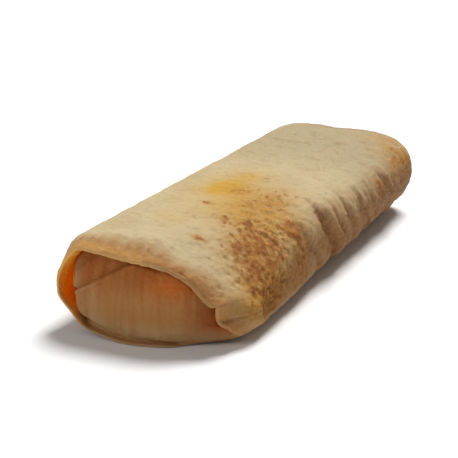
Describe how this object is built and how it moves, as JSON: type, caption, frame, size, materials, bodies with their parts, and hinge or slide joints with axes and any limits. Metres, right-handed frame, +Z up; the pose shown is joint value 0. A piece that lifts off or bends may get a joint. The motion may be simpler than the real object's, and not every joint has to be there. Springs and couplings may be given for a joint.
{
  "type": "chicken durum wrap",
  "caption": "Rolled flatbread wrap, pressed flat, tucked in at both ends, with one open tucked mouth and a pleated flank.",
  "frame": {"origin": "middle of the bounding box at the flat base", "axes": "+Z up, +Y along the roll away from the open tucked end, +X towards the toasted and pleated flank"},
  "size_m": [0.0806, 0.213, 0.0404],
  "materials": {
    "flatbread": "soft matt flatbread, cream with golden brown toasted patches"
  },
  "bodies": {
    "root": {"flatbread_wrap": "flatbread"}
  },
  "joints": []
}
